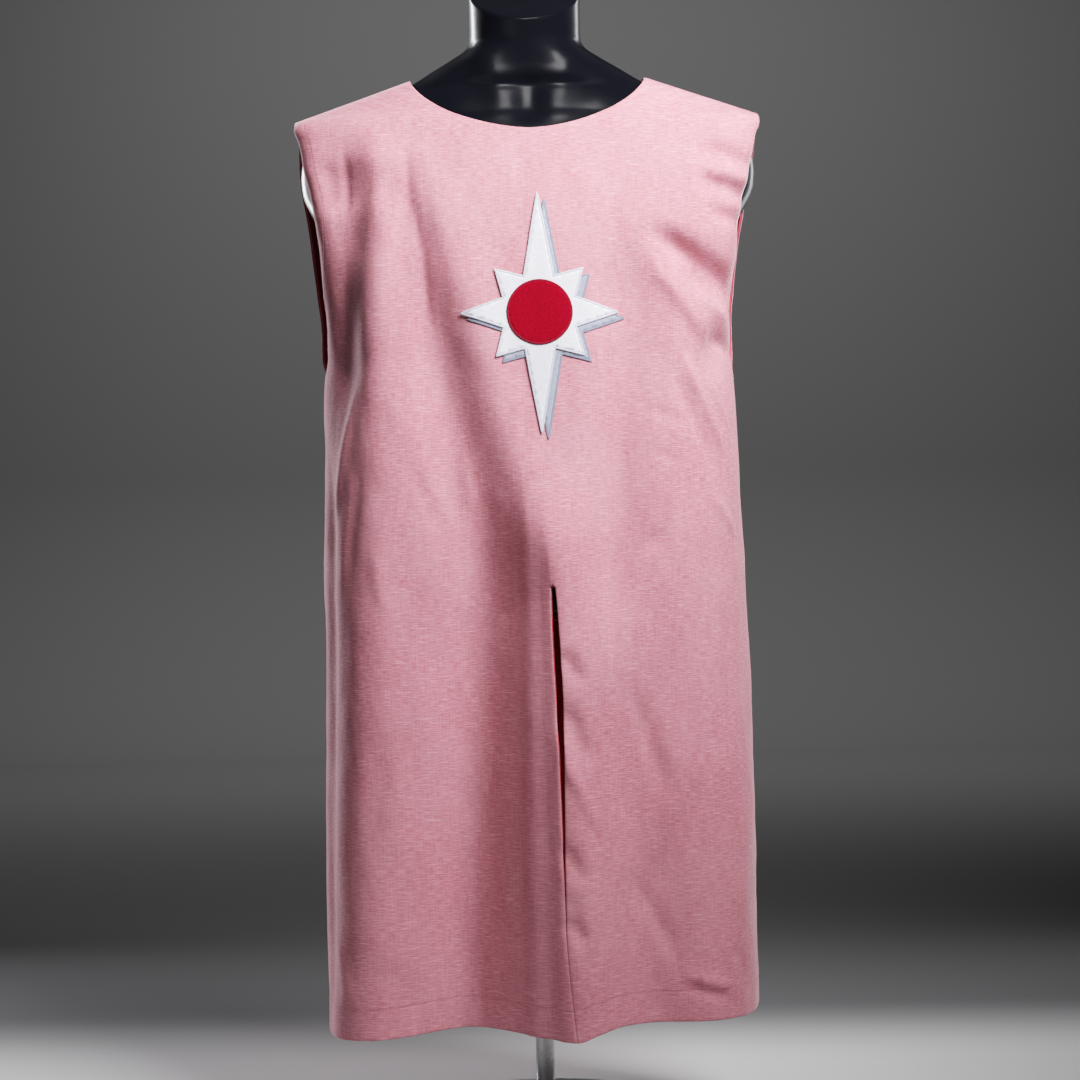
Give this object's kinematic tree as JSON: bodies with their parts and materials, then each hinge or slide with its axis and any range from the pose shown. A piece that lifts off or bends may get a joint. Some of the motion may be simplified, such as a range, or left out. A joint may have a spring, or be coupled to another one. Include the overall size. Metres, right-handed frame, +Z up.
{
  "type": "tabard on a dress form",
  "caption": "Sleeveless lined linen tabard with a front slit and a sewn-on badge, worn by a limbless dress form on a pole stand.",
  "frame": {"origin": "centre of the base plate's underside, on the floor", "axes": "+Z up along the pole, -Y out of the front of the tabard, +X towards the right of someone who looks at the front"},
  "size_m": [0.478, 0.3316, 1.1905],
  "materials": {
    "linen": "dusty pink linen, plain weave with slubs, soft sheen",
    "lining": "dark red plain lining",
    "badge_grey": "grey satin applique",
    "badge_white": "white satin applique",
    "badge_red": "red felted applique",
    "form_shell": "glossy black",
    "stand_steel": "brushed"
  },
  "bodies": {
    "root": {"front_panel": "linen", "back_panel": "linen", "front_lining": "lining", "back_lining": "lining", "badge_shadow": "badge_grey", "badge_star": "badge_white", "badge_roundel": "badge_red", "form_torso": "form_shell", "stand_flange": "stand_steel", "stand_pole": "stand_steel", "stand_base": "stand_steel"}
  },
  "joints": []
}
